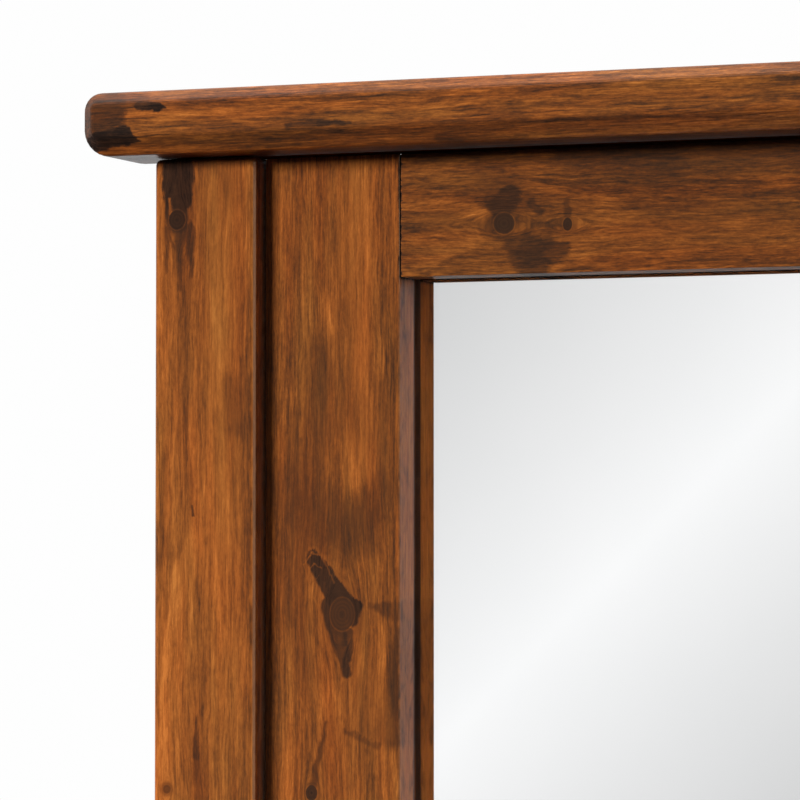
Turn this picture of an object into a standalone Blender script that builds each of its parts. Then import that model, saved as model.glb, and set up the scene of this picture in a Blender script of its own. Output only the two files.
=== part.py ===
"""Cheval floor mirror: a framed mirror that tilts between two posts under a cap, on two sled feet.

Metres. +Z is up, +X is to the viewer's right and -Y is the front. The origin is on the floor, midway
between the feet. The framed mirror turns about an axis along X through both posts, at half its height,
and a turned knob on each side clamps it.
"""

import math

import bmesh
import bpy
from mathutils import Matrix, Vector

# Swinging frame
OPENING_WIDTH = 0.370
OPENING_HEIGHT = 1.320
STILE_WIDTH = 0.065
RAIL_HEIGHT = 0.055
LIP_DEPTH = 0.018  # from the frame's front face back to the glass
REBATE_WIDTH = 0.010
FRAME_ROUNDING = 0.0008
GLASS_THICKNESS = 0.005
GLASS_PLAY = 0.001  # left all round the glass in its rebate
GLASS_BACK_PLAY = 0.0007  # left between the glass and the frame's back face
BOARD_THICKNESS = 0.003
BOARD_LAP = 0.012  # board lying on the frame's back outside the rebate
SHEET_EDGE = 0.0004  # the arrises of the glass and the board

# Stand
POST_WIDTH = 0.050
POST_DEPTH = 0.028
POST_REVEAL = 0.0085  # how far the posts' fronts stand proud of the frame
POST_ROUNDING = 0.0026
SIDE_CLEARANCE = 0.0012  # between a stile and its post
TOP_CLEARANCE = 0.001  # between the frame and the cap
CAP_THICKNESS = 0.0285
CAP_FRONT_OVERHANG = 0.027
CAP_BACK_OVERHANG = 0.0015
CAP_SIDE_OVERHANG = 0.0256
CAP_UPPER_CHAMFER = 0.0058
CAP_LOWER_CHAMFER = 0.0080
CAP_CHAMFER_SOFTENING = 0.0012
CAP_END_UPPER_RADIUS = 0.009  # rounding of the cap's ends, seen from the front
CAP_END_LOWER_RADIUS = 0.0115
STRETCHER_RISE = 0.150
STRETCHER_HEIGHT = 0.060
STRETCHER_THICKNESS = 0.024
STRETCHER_ROUNDING = 0.002
UNDER_FRAME = 0.029  # between the stretcher and the frame
FOOT_LENGTH = 0.460
FOOT_WIDTH = 0.056
FOOT_HEIGHT = 0.086
FOOT_TOE_HEIGHT = 0.040
FOOT_TOE_ROUNDING = 0.010
FOOT_ROUNDING = 0.002
FOOT_ARCH_LENGTH = 0.270
FOOT_ARCH_RISE = 0.014
FOOT_BOSS_LENGTH = 0.064  # flat top under the post
PAD_RADIUS = 0.015
PAD_THICKNESS = 0.006
PAD_PROUD = 0.004
PAD_INSET = 0.034  # from the foot's end to the pad's centre
PAD_EDGE = 0.001

# Joinery
TENON_WIDTH = 0.030
TENON_DEPTH = 0.016
TENON_LENGTH = 0.045
CAP_DOWEL_RADIUS = 0.005
CAP_DOWEL_LENGTH = 0.036
CAP_DOWEL_SPACING = 0.024
RAIL_DOWEL_RADIUS = 0.004
RAIL_DOWEL_LENGTH = 0.060
RAIL_DOWEL_SPACING = 0.028
STRETCHER_DOWEL_RADIUS = 0.004
STRETCHER_DOWEL_LENGTH = 0.040
STRETCHER_DOWEL_DROP = 0.018  # below the stretcher's middle
STRETCHER_BOLT_RISE = 0.008  # above the stretcher's middle
STRETCHER_BOLT_RADIUS = 0.003
STRETCHER_BOLT_REACH = 0.038  # how far the bolt enters the stretcher
BOLT_HEAD_RADIUS = 0.0085
BOLT_HEAD_HEIGHT = 0.0032
BOLT_SOCKET_RADIUS = 0.0023
BARREL_NUT_RADIUS = 0.005
BARREL_NUT_LENGTH = 0.018
FOOT_SCREW_RADIUS = 0.004
FOOT_SCREW_LENGTH = 0.075
FOOT_SCREW_HEAD_RADIUS = 0.0072
FOOT_SCREW_HEAD_HEIGHT = 0.0053
FOOT_SCREW_RECESS_RADIUS = 0.010
FOOT_SCREW_RECESS_DEPTH = 0.008
BOARD_SCREW_RADIUS = 0.0015
BOARD_SCREW_LENGTH = 0.012
BOARD_SCREW_HEAD_RADIUS = 0.0035
BOARD_SCREW_HEAD_HEIGHT = 0.002
SIDE_SCREWS = 4  # board screws down each stile

# Pivots
STUD_RADIUS = 0.004
STUD_GRIP = 0.020  # how far the stud enters the stile, and the knob
INSERT_RADIUS = 0.006
INSERT_LENGTH = 0.022
BUSHING_RADIUS = 0.007
BUSHING_FLANGE_RADIUS = 0.011
BUSHING_FLANGE = 0.0015
INNER_WASHER_RADIUS = 0.012
OUTER_WASHER_RADIUS = 0.014
OUTER_WASHER_THICKNESS = 0.002
KNOB_RADIUS = 0.019
KNOB_BASE_RADIUS = 0.0135
KNOB_NECK_RADIUS = 0.0095
KNOB_LENGTH = 0.036
KNOB_WAIST_HEIGHT = 0.022  # where the knob is widest, above its base
KNOB_NECK_HEIGHT = 0.0095
KNOB_BASE_HEIGHT = 0.0045
KNOB_EDGE = 0.001

FIT = 0.0003  # gap between pieces that touch
CUT_PAST = 0.002  # how far a cutter runs past the face it opens

# Facets of round shapes
ROD_SIDES = 16
BORE_SIDES = 24  # the wider holes
TURNED_SIDES = 24
SMALL_SIDES = 12

# Places that follow from the sizes
HALF_OPENING = OPENING_WIDTH / 2
FRAME_HALF_WIDTH = HALF_OPENING + STILE_WIDTH
POST_INSIDE = FRAME_HALF_WIDTH + SIDE_CLEARANCE
POST_OUTSIDE = POST_INSIDE + POST_WIDTH
POST_MIDDLE = POST_INSIDE + POST_WIDTH / 2
POST_FRONT = -POST_DEPTH / 2
POST_BACK = POST_DEPTH / 2
FRAME_FRONT = POST_FRONT + POST_REVEAL
REBATE_FRONT = FRAME_FRONT + LIP_DEPTH
GLASS_FRONT = REBATE_FRONT + FIT
FRAME_BACK = GLASS_FRONT + GLASS_THICKNESS + GLASS_BACK_PLAY
DOWEL_LINE = FRAME_FRONT + LIP_DEPTH / 2
FRAME_BOTTOM = STRETCHER_RISE + STRETCHER_HEIGHT + UNDER_FRAME
OPENING_BOTTOM = FRAME_BOTTOM + RAIL_HEIGHT
OPENING_TOP = OPENING_BOTTOM + OPENING_HEIGHT
FRAME_TOP = OPENING_TOP + RAIL_HEIGHT
CAP_BOTTOM = FRAME_TOP + TOP_CLEARANCE
CAP_HALF_LENGTH = POST_OUTSIDE + CAP_SIDE_OVERHANG
STRETCHER_MIDDLE = STRETCHER_RISE + STRETCHER_HEIGHT / 2
FOOT_TOP = PAD_PROUD + FOOT_HEIGHT
FOOT_SCREW_SEAT = PAD_PROUD + FOOT_ARCH_RISE + FOOT_SCREW_RECESS_DEPTH  # what the screw's head bears on
PIVOT = Vector((0, DOWEL_LINE, (FRAME_BOTTOM + FRAME_TOP) / 2))
POCKET_HALF_WIDTH = HALF_OPENING + REBATE_WIDTH
POCKET_BOTTOM = OPENING_BOTTOM - REBATE_WIDTH
POCKET_TOP = OPENING_TOP + REBATE_WIDTH
BOARD_FRONT = FRAME_BACK + FIT
BOARD_BACK = BOARD_FRONT + BOARD_THICKNESS

LEFT, RIGHT = -1, 1
SIDES = {"left": LEFT, "right": RIGHT}
X, Y, Z = Vector((1, 0, 0)), Vector((0, 1, 0)), Vector((0, 0, 1))
QUARTER_TURN_X = Matrix.Rotation(math.pi / 2, 4, "X")
QUARTER_TURN_Z = Matrix.Rotation(math.pi / 2, 4, "Z")


def clear_scene():
    for old in list(bpy.data.objects):
        bpy.data.objects.remove(old, do_unlink=True)


def new_collection(name):
    made = bpy.data.collections.new(name)
    bpy.context.scene.collection.children.link(made)
    return made


def new_material(name, color, roughness, metallic=0.0):
    made = bpy.data.materials.new(name)
    made.use_nodes = True
    made.diffuse_color = (*color, 1)
    shader = made.node_tree.nodes["Principled BSDF"]
    shader.inputs["Base Color"].default_value = (*color, 1)
    shader.inputs["Roughness"].default_value = roughness
    shader.inputs["Metallic"].default_value = metallic
    return made


clear_scene()
MIRROR = new_collection("cheval_floor_mirror")
CUTTERS = new_collection("cutters")
STAINED_PINE = new_material("stained_pine", (0.20, 0.075, 0.022), 0.42)
PLAIN_PINE = new_material("plain_pine", (0.52, 0.33, 0.16), 0.70)
FIBREBOARD = new_material("fibreboard", (0.19, 0.12, 0.07), 0.75)
SILVERED_GLASS = new_material("silvered_glass", (0.90, 0.92, 0.92), 0.02, 1.0)
STEEL = new_material("zinc_plated_steel", (0.60, 0.60, 0.58), 0.35, 1.0)
BRASS = new_material("brass", (0.62, 0.43, 0.17), 0.32, 1.0)
NYLON = new_material("black_nylon", (0.03, 0.03, 0.03), 0.45)
FELT = new_material("felt", (0.10, 0.09, 0.08), 0.95)


def add(name, mesh, material, place=Vector(), smooth_angle=None):
    """A new object of the mirror at place."""
    if smooth_angle is not None:
        mesh.shade_smooth()
        mesh.set_sharp_from_angle(angle=smooth_angle)
    mesh.materials.append(material)
    made = bpy.data.objects.new(name, mesh)
    made.location = place
    MIRROR.objects.link(made)
    return made


def box_mesh(name, size):
    bm = bmesh.new()
    bmesh.ops.create_cube(bm, size=1, matrix=Matrix.Diagonal((*size, 1)))
    mesh = bpy.data.meshes.new(name)
    bm.to_mesh(mesh)
    bm.free()
    return mesh


def rod_mesh(name, radius, length, axis, sides):
    """A cylinder centred on the origin along axis."""
    bm = bmesh.new()
    turn = axis.to_track_quat("Z", "Y").to_matrix().to_4x4()
    bmesh.ops.create_cone(
        bm, cap_ends=True, segments=sides, radius1=radius, radius2=radius, depth=length, matrix=turn
    )
    mesh = bpy.data.meshes.new(name)
    bm.to_mesh(mesh)
    bm.free()
    return mesh


def box(name, low, high, material, rounding=0.0, segments=3):
    """A box between two corners, its edges rounded."""
    low, high = Vector(low), Vector(high)
    made = add(name, box_mesh(name, high - low), material, (low + high) / 2)
    if rounding:
        round_edges(made, rounding, segments)
    return made


def rod(name, radius, start, end, material, sides=ROD_SIDES):
    """A round rod between two points."""
    start, end = Vector(start), Vector(end)
    mesh = rod_mesh(name, radius, (end - start).length, (end - start).normalized(), sides)
    return add(name, mesh, material, (start + end) / 2, math.radians(40))


def round_edges(made, width, segments=3):
    bevel = made.modifiers.new("rounding", "BEVEL")
    bevel.width = width
    bevel.segments = segments
    bevel.limit_method = "ANGLE"
    bevel.angle_limit = math.radians(30)


def turned(name, profile, place, axis, material, steps=TURNED_SIDES):
    """A turned piece. Its (radius, height) points run down its outside, with heights along axis."""
    bm = bmesh.new()
    points = [bm.verts.new((radius, 0, height)) for radius, height in profile]
    for above, below in zip(points, points[1:]):
        bm.edges.new((above, below))
    mesh = bpy.data.meshes.new(name)
    bm.to_mesh(mesh)
    bm.free()
    made = add(name, mesh, material, place)
    made.rotation_euler = axis.to_track_quat("Z", "Y").to_euler()
    screw = made.modifiers.new("turning", "SCREW")
    screw.steps = steps
    screw.render_steps = steps
    screw.use_merge_vertices = True
    screw.merge_threshold = 0.00005
    screw.use_smooth_shade = False
    return made


def washer_profile(inner, outer, bottom, top):
    return [(inner, top), (outer, top), (outer, bottom), (inner, bottom), (inner, top)]


def outline_mesh(name, points, thickness):
    """A flat outline of (across, up) points in the local X-Y plane, thickened both ways along local Z."""
    curve = bpy.data.curves.new(name, "CURVE")
    curve.dimensions = "2D"
    curve.fill_mode = "BOTH"
    curve.extrude = thickness / 2
    spline = curve.splines.new("POLY")
    spline.points.add(len(points) - 1)
    for point, (across, up) in zip(spline.points, points):
        point.co = (across, up, 0, 1)
    spline.use_cyclic_u = True
    guide = bpy.data.objects.new(name + "_outline", curve)
    MIRROR.objects.link(guide)
    graph = bpy.context.evaluated_depsgraph_get()
    mesh = bpy.data.meshes.new_from_object(guide.evaluated_get(graph))
    bpy.data.objects.remove(guide)
    bm = bmesh.new()
    bm.from_mesh(mesh)
    bmesh.ops.remove_doubles(bm, verts=bm.verts, dist=0.00001)
    bmesh.ops.dissolve_limit(bm, angle_limit=math.radians(1), verts=bm.verts, edges=bm.edges)
    bmesh.ops.recalc_face_normals(bm, faces=bm.faces)
    bm.to_mesh(mesh)
    bm.free()
    return mesh


def cut(piece, mesh, place):
    """Takes mesh, moved to place, out of the piece."""
    cutter = bpy.data.objects.new(piece.name + "_cutter", mesh)
    cutter.location = place
    cutter.hide_render = True
    cutter.display_type = "WIRE"
    CUTTERS.objects.link(cutter)
    boolean = piece.modifiers.new("cut", "BOOLEAN")
    boolean.operation = "DIFFERENCE"
    boolean.object = cutter


def cut_box(piece, low, high):
    low, high = Vector(low), Vector(high)
    cut(piece, box_mesh("cut", high - low), (low + high) / 2)


def drill(piece, radius, start, end, sides=ROD_SIDES):
    """A round hole between two points."""
    start, end = Vector(start), Vector(end)
    mesh = rod_mesh("hole", radius, (end - start).length, (end - start).normalized(), sides)
    cut(piece, mesh, (start + end) / 2)


def axis_empty(name, place, parent=None):
    """An empty on a joint's axis, which carries the pieces that turn or slide there."""
    made = bpy.data.objects.new(name, None)
    made.empty_display_size = 0.05
    MIRROR.objects.link(made)
    hang(made, parent, place)
    return made


def hang(made, parent, place):
    """Parents an object to an unturned empty, with the object at place in the world."""
    made.parent = parent
    made.location = place - (origin_of(parent) if parent else Vector())


def origin_of(empty):
    """Where an unturned empty is in the world."""
    return empty.location + (origin_of(empty.parent) if empty.parent else Vector())


def carry(empty, pieces):
    for piece in pieces:
        hang(piece, empty, piece.location.copy())


# --- Stand ---


def foot_outline():
    """The foot seen from the side, as (along, up) points: arched below, swept up to a flat boss."""
    half, arch_half, boss_half = FOOT_LENGTH / 2, FOOT_ARCH_LENGTH / 2, FOOT_BOSS_LENGTH / 2
    toe_top = PAD_PROUD + FOOT_TOE_HEIGHT
    arch_steps, sweep_steps, corner_steps = 9, 12, 4
    points = []
    for step in range(arch_steps + 1):
        along = arch_half * step / arch_steps
        points.append((along, PAD_PROUD + FOOT_ARCH_RISE * (1 - (along / arch_half) ** 2)))
    points.append((half - FOOT_TOE_ROUNDING / 2, PAD_PROUD))
    points.append((half, PAD_PROUD + FOOT_TOE_ROUNDING / 2))
    for step in range(corner_steps + 1):
        angle = math.pi / 2 * step / corner_steps
        along = half - FOOT_TOE_ROUNDING * (1 - math.cos(angle))
        points.append((along, toe_top - FOOT_TOE_ROUNDING * (1 - math.sin(angle))))
    sweep_end = half - 2 * FOOT_TOE_ROUNDING
    for step in range(sweep_steps + 1):
        share = step / sweep_steps
        along = sweep_end + (boss_half - sweep_end) * share
        rise = (1 - math.cos(math.pi * share)) / 2
        points.append((along, toe_top + (FOOT_TOP - toe_top) * rise))
    return points + [(-along, up) for along, up in reversed(points) if along > 0]


def make_foot(name, side):
    """A sled foot with a mortise for its post, a screw hole below it and a seat for each pad."""
    middle = side * POST_MIDDLE
    mesh = outline_mesh(name, foot_outline(), FOOT_WIDTH)
    mesh.transform(QUARTER_TURN_Z @ QUARTER_TURN_X)
    foot = add(name, mesh, STAINED_PINE, X * middle)
    round_edges(foot, FOOT_ROUNDING)
    half = Vector((TENON_WIDTH / 2 + FIT, TENON_DEPTH / 2 + FIT, 0))
    mortise_bottom = Vector((middle, 0, FOOT_TOP - TENON_LENGTH - FIT))
    cut_box(foot, mortise_bottom - half, Vector((middle, 0, FOOT_TOP + CUT_PAST)) + half)
    under = PAD_PROUD + FOOT_ARCH_RISE
    drill(foot, FOOT_SCREW_RECESS_RADIUS, (middle, 0, under - CUT_PAST), (middle, 0, FOOT_SCREW_SEAT))
    drill(foot, FOOT_SCREW_RADIUS + FIT, (middle, 0, under), mortise_bottom + Z * CUT_PAST)
    for pad in pad_places(side):
        seat_top = pad + Z * (PAD_THICKNESS + FIT)
        drill(foot, PAD_RADIUS + FIT, pad + Z * (PAD_PROUD - CUT_PAST), seat_top, sides=BORE_SIDES)
    return foot


def pad_places(side):
    reach = FOOT_LENGTH / 2 - PAD_INSET
    return [Vector((side * POST_MIDDLE, end * reach, 0)) for end in (-1, 1)]


def make_pads(side_name, side):
    profile = [
        (0, PAD_THICKNESS),
        (PAD_RADIUS, PAD_THICKNESS),
        (PAD_RADIUS, PAD_EDGE),
        (PAD_RADIUS - PAD_EDGE, 0),
        (0, 0),
    ]
    for end, place in zip(("front", "rear"), pad_places(side)):
        turned(f"{side_name}_{end}_foot_pad", profile, place, Z, FELT)


def make_post(name, side):
    """A post: a tenon below, dowel holes on top, the bushing's bore and the stretcher's holes."""
    ends = sorted((side * POST_INSIDE, side * POST_OUTSIDE))
    tenon_bottom = FOOT_TOP - TENON_LENGTH
    post = box(
        name,
        (ends[0], POST_FRONT, tenon_bottom),
        (ends[1], POST_BACK, CAP_BOTTOM - FIT),
        STAINED_PINE,
        POST_ROUNDING,
    )
    middle = side * POST_MIDDLE
    shoulder = FOOT_TOP + FIT
    past = CUT_PAST
    reach, below = POST_WIDTH / 2 + past, tenon_bottom - past
    for end in (LEFT, RIGHT):
        near, far = sorted((middle + end * TENON_WIDTH / 2, middle + end * reach))
        cut_box(post, (near, POST_FRONT - past, below), (far, POST_BACK + past, shoulder))
        near, far = sorted((end * TENON_DEPTH / 2, end * (POST_BACK + past)))
        cut_box(post, (middle - reach, near, below), (middle + reach, far, shoulder))
    screw_end = (middle, 0, FOOT_SCREW_SEAT + FOOT_SCREW_LENGTH + FIT)
    drill(post, FOOT_SCREW_RADIUS + FIT, (middle, 0, below), screw_end)
    for place in cap_dowel_places(side):
        hole_bottom = place - Z * (CAP_DOWEL_LENGTH / 2 + FIT)
        drill(post, CAP_DOWEL_RADIUS + FIT, hole_bottom, place + Z * past)
    inside, outside = X * side * (POST_INSIDE - past), X * side * (POST_OUTSIDE + past)
    drill(post, BUSHING_RADIUS + FIT, PIVOT + inside, PIVOT + outside, sides=BORE_SIDES)
    bolt = Z * (STRETCHER_MIDDLE + STRETCHER_BOLT_RISE)
    drill(post, STRETCHER_BOLT_RADIUS + FIT, bolt + inside, bolt + outside)
    dowel = Z * (STRETCHER_MIDDLE - STRETCHER_DOWEL_DROP)
    dowel_end = X * side * (POST_INSIDE + STRETCHER_DOWEL_LENGTH / 2 + FIT)
    drill(post, STRETCHER_DOWEL_RADIUS + FIT, dowel + inside, dowel + dowel_end)
    return post


def cap_dowel_places(side):
    """Where the dowels between this post and the cap cross the joint."""
    half = CAP_DOWEL_SPACING / 2
    return [Vector((side * POST_MIDDLE + across, 0, CAP_BOTTOM)) for across in (-half, half)]


def cap_outline():
    """The cap seen from the front, its ends rounded: each point, the way out of it, and its chamfer."""
    steps = 7
    points = []
    for side, upwards in ((RIGHT, -1), (RIGHT, 1), (LEFT, 1), (LEFT, -1)):
        radius = CAP_END_UPPER_RADIUS if upwards > 0 else CAP_END_LOWER_RADIUS
        centre = X * side * (CAP_HALF_LENGTH - radius) + Z * upwards * (CAP_THICKNESS / 2 - radius)
        for step in range(steps + 1):
            turn = math.pi / 2 * (step if side == upwards else steps - step) / steps
            out = X * side * math.cos(turn) + Z * upwards * math.sin(turn)
            height_share = (1 + out.z) / 2
            chamfer = CAP_LOWER_CHAMFER + (CAP_UPPER_CHAMFER - CAP_LOWER_CHAMFER) * height_share
            points.append((centre + out * radius, out, chamfer))
    return points


def cap_mesh(front, back):
    """The cap's outline thickened from front to back, with its chamfers."""
    bm = bmesh.new()
    rings = []
    for face, inwards, on_face in ((front, 1, True), (front, 1, False), (back, -1, False), (back, -1, True)):
        ring = []
        for point, out, chamfer in cap_outline():
            if on_face:
                ring.append(bm.verts.new(point - out * chamfer + Y * face))
            else:
                ring.append(bm.verts.new(point + Y * (face + inwards * chamfer)))
        rings.append(ring)
    for near, far in zip(rings, rings[1:]):
        for corner in range(len(near)):
            after = (corner + 1) % len(near)
            bm.faces.new((near[corner], near[after], far[after], far[corner]))
    bm.faces.new(rings[0])
    bm.faces.new(rings[-1])
    bmesh.ops.recalc_face_normals(bm, faces=bm.faces)
    mesh = bpy.data.meshes.new("cap_rail")
    bm.to_mesh(mesh)
    bm.free()
    return mesh


def make_cap():
    """The cap, chamfered all round, with blind holes for the posts' dowels."""
    mesh = cap_mesh(POST_FRONT - CAP_FRONT_OVERHANG, POST_BACK + CAP_BACK_OVERHANG)
    cap = add("cap_rail", mesh, STAINED_PINE, Z * (CAP_BOTTOM + CAP_THICKNESS / 2))
    round_edges(cap, CAP_CHAMFER_SOFTENING, segments=2)
    for side in (LEFT, RIGHT):
        for place in cap_dowel_places(side):
            hole_top = place + Z * (CAP_DOWEL_LENGTH / 2 + FIT)
            drill(cap, CAP_DOWEL_RADIUS + FIT, place - Z * CUT_PAST, hole_top)
    return cap


def make_cap_dowels(side_name, side):
    half = Z * CAP_DOWEL_LENGTH / 2
    for end, place in zip(("a", "b"), cap_dowel_places(side)):
        rod(f"{side_name}_cap_dowel_{end}", CAP_DOWEL_RADIUS, place - half, place + half, PLAIN_PINE)


def make_foot_screw(side_name, side):
    """A hexagon-headed screw up through the foot into the post."""
    head_top = Vector((side * POST_MIDDLE, 0, FOOT_SCREW_SEAT - FIT))
    tip = head_top + Z * FOOT_SCREW_LENGTH
    screw = rod(f"{side_name}_foot_screw", FOOT_SCREW_RADIUS, head_top - Z * 0.001, tip, STEEL)
    head = rod_mesh("hexagon", FOOT_SCREW_HEAD_RADIUS, FOOT_SCREW_HEAD_HEIGHT, Z, 6)
    join(screw, head, head_top - Z * FOOT_SCREW_HEAD_HEIGHT / 2)


def join(piece, mesh, place):
    """Unites mesh, moved to place, with the piece."""
    cut(piece, mesh, place)
    piece.modifiers[-1].name = "join"
    piece.modifiers[-1].operation = "UNION"


def barrel_nut_place(side):
    """The middle of the barrel nut, which the stretcher bolt passes through near its tip."""
    along = POST_INSIDE - STRETCHER_BOLT_REACH + 2 * BARREL_NUT_RADIUS
    return Vector((side * along, 0, STRETCHER_MIDDLE + STRETCHER_BOLT_RISE))


def make_stretcher():
    """The low rail between the posts, with bolt, dowel and barrel nut holes at each end."""
    half_thickness = STRETCHER_THICKNESS / 2
    reach = POST_INSIDE - FIT
    stretcher = box(
        "lower_stretcher",
        (-reach, -half_thickness, STRETCHER_RISE),
        (reach, half_thickness, STRETCHER_RISE + STRETCHER_HEIGHT),
        STAINED_PINE,
        STRETCHER_ROUNDING,
    )
    bolt, dowel = Z * (STRETCHER_MIDDLE + STRETCHER_BOLT_RISE), Z * (STRETCHER_MIDDLE - STRETCHER_DOWEL_DROP)
    for side in (LEFT, RIGHT):
        end = X * side * (reach + CUT_PAST)
        bolt_bottom = X * side * (POST_INSIDE - STRETCHER_BOLT_REACH - FIT)
        drill(stretcher, STRETCHER_BOLT_RADIUS + FIT, bolt + end, bolt + bolt_bottom)
        dowel_bottom = X * side * (POST_INSIDE - STRETCHER_DOWEL_LENGTH / 2 - FIT)
        drill(stretcher, STRETCHER_DOWEL_RADIUS + FIT, dowel + end, dowel + dowel_bottom)
        nut = barrel_nut_place(side)
        nut_front = nut - Y * (BARREL_NUT_LENGTH / 2 + FIT)
        drill(stretcher, BARREL_NUT_RADIUS + FIT, nut_front, nut + Y * (half_thickness + CUT_PAST))
    return stretcher


def make_stretcher_fixings(side_name, side):
    """A round-headed bolt with a hexagon socket, its barrel nut and a locating dowel."""
    seat = Vector((side * (POST_OUTSIDE + FIT), 0, STRETCHER_MIDDLE + STRETCHER_BOLT_RISE))
    shank = POST_WIDTH + FIT + STRETCHER_BOLT_REACH
    edge = BOLT_HEAD_HEIGHT / 2
    profile = [
        (0, BOLT_HEAD_HEIGHT),
        (BOLT_HEAD_RADIUS - edge, BOLT_HEAD_HEIGHT),
        (BOLT_HEAD_RADIUS, BOLT_HEAD_HEIGHT - edge),
        (BOLT_HEAD_RADIUS, 0),
        (STRETCHER_BOLT_RADIUS, 0),
        (STRETCHER_BOLT_RADIUS, -shank),
        (0, -shank),
    ]
    bolt = turned(f"{side_name}_stretcher_bolt", profile, seat, X * side, STEEL, steps=ROD_SIDES)
    socket = rod_mesh("socket", BOLT_SOCKET_RADIUS, BOLT_HEAD_HEIGHT, X, 6)
    cut(bolt, socket, seat + X * side * BOLT_HEAD_HEIGHT)
    nut, half = barrel_nut_place(side), Y * BARREL_NUT_LENGTH / 2
    barrel = rod(f"{side_name}_barrel_nut", BARREL_NUT_RADIUS, nut - half, nut + half, STEEL)
    reach = X * 2 * BARREL_NUT_RADIUS
    drill(barrel, STRETCHER_BOLT_RADIUS + FIT, nut - reach, nut + reach)
    joint = Vector((side * POST_INSIDE, 0, STRETCHER_MIDDLE - STRETCHER_DOWEL_DROP))
    half = X * STRETCHER_DOWEL_LENGTH / 2
    rod(f"{side_name}_stretcher_dowel", STRETCHER_DOWEL_RADIUS, joint - half, joint + half, PLAIN_PINE)


# --- Pivots ---


def outward(side, distance):
    """A point on the pivot axis, this far from the middle."""
    return PIVOT + X * side * distance


def washer_seat():
    """How far out the outer washer's inner face lies."""
    return POST_OUTSIDE + FIT + BUSHING_FLANGE + FIT


def make_bushing(side_name, side):
    """A flanged sleeve in the post, which the stud turns in."""
    bore = STUD_RADIUS + FIT
    flange_top = FIT + BUSHING_FLANGE
    profile = [
        (bore, flange_top),
        (BUSHING_FLANGE_RADIUS, flange_top),
        (BUSHING_FLANGE_RADIUS, FIT),
        (BUSHING_RADIUS, FIT),
        (BUSHING_RADIUS, -POST_WIDTH),
        (bore, -POST_WIDTH),
        (bore, flange_top),
    ]
    turned(f"{side_name}_bushing", profile, outward(side, POST_OUTSIDE), X * side, NYLON)


def make_inner_washer(side_name, side):
    profile = washer_profile(STUD_RADIUS + FIT, INNER_WASHER_RADIUS, FIT, SIDE_CLEARANCE - FIT)
    turned(f"{side_name}_friction_washer", profile, outward(side, FRAME_HALF_WIDTH), X * side, NYLON)


def make_insert(side_name, side):
    """A brass bush screwed into the stile's edge, which the stud threads into."""
    profile = washer_profile(STUD_RADIUS + FIT, INSERT_RADIUS, -INSERT_LENGTH, 0)
    return turned(f"{side_name}_threaded_insert", profile, outward(side, FRAME_HALF_WIDTH), X * side, BRASS)


def make_outer_washer(side_name, side):
    profile = washer_profile(STUD_RADIUS + FIT, OUTER_WASHER_RADIUS, 0, OUTER_WASHER_THICKNESS)
    return turned(f"{side_name}_clamp_washer", profile, outward(side, washer_seat()), X * side, BRASS)


def knob_profile():
    """The turned knob from its crown down to its base, then up its blind bore."""
    crown_depth = KNOB_LENGTH - KNOB_WAIST_HEIGHT
    steps = 5
    points = [(0, KNOB_LENGTH)]
    for step in range(1, steps + 1):
        angle = math.pi / 2 * step / steps
        height = KNOB_WAIST_HEIGHT + crown_depth * math.cos(angle)
        points.append((KNOB_RADIUS * math.sin(angle), height))
    for step in range(1, steps + 1):
        share = step / steps
        drop = (1 - math.cos(math.pi * share)) / 2
        height = KNOB_WAIST_HEIGHT + (KNOB_NECK_HEIGHT - KNOB_WAIST_HEIGHT) * share
        points.append((KNOB_RADIUS + (KNOB_NECK_RADIUS - KNOB_RADIUS) * drop, height))
    bore = STUD_RADIUS + FIT
    return points + [
        (KNOB_BASE_RADIUS, KNOB_BASE_HEIGHT),
        (KNOB_BASE_RADIUS, KNOB_EDGE),
        (KNOB_BASE_RADIUS - KNOB_EDGE, 0),
        (bore, 0),
        (bore, STUD_GRIP + FIT),
        (0, STUD_GRIP + FIT),
    ]


def make_knob(side_name, side):
    """A turned wooden knob on its stud."""
    base = washer_seat() + OUTER_WASHER_THICKNESS + FIT
    knob = turned(f"{side_name}_clamp_knob", knob_profile(), outward(side, base), X * side, STAINED_PINE)
    start, end = outward(side, FRAME_HALF_WIDTH - STUD_GRIP), outward(side, base + STUD_GRIP)
    return [knob, rod(f"{side_name}_pivot_stud", STUD_RADIUS, start, end, STEEL)]


# --- Swinging frame ---


def cut_pocket(piece):
    """The rebate that the glass drops into from behind."""
    cut_box(
        piece,
        (-POCKET_HALF_WIDTH, REBATE_FRONT, POCKET_BOTTOM),
        (POCKET_HALF_WIDTH, FRAME_BACK + CUT_PAST, POCKET_TOP),
    )


def rail_dowel_places(side):
    """Where the dowels between this stile and the two rails cross the joints, from the bottom up."""
    rails = (FRAME_BOTTOM + RAIL_HEIGHT / 2, FRAME_TOP - RAIL_HEIGHT / 2)
    half = RAIL_DOWEL_SPACING / 2
    return [Vector((side * HALF_OPENING, DOWEL_LINE, rail + up)) for rail in rails for up in (-half, half)]


def board_screw_places():
    """The board's screws: down each stile, and one in the middle of each rail."""
    across = POCKET_HALF_WIDTH + BOARD_LAP / 2
    bottom, top = POCKET_BOTTOM - BOARD_LAP / 2, POCKET_TOP + BOARD_LAP / 2
    places = [Vector((0, BOARD_BACK, bottom)), Vector((0, BOARD_BACK, top))]
    for side in (LEFT, RIGHT):
        for number in range(SIDE_SCREWS):
            share = (number + 0.5) / SIDE_SCREWS
            places.append(Vector((side * across, BOARD_BACK, bottom + (top - bottom) * share)))
    return places


def drill_board_screws(piece, within):
    """Screw holes through the board and into the wood, for the screws whose place is within the piece."""
    for place in board_screw_places():
        if within(place):
            hole_end = place - Y * (BOARD_SCREW_LENGTH + FIT)
            drill(piece, BOARD_SCREW_RADIUS + FIT, place + Y * CUT_PAST, hole_end, sides=SMALL_SIDES)


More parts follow.
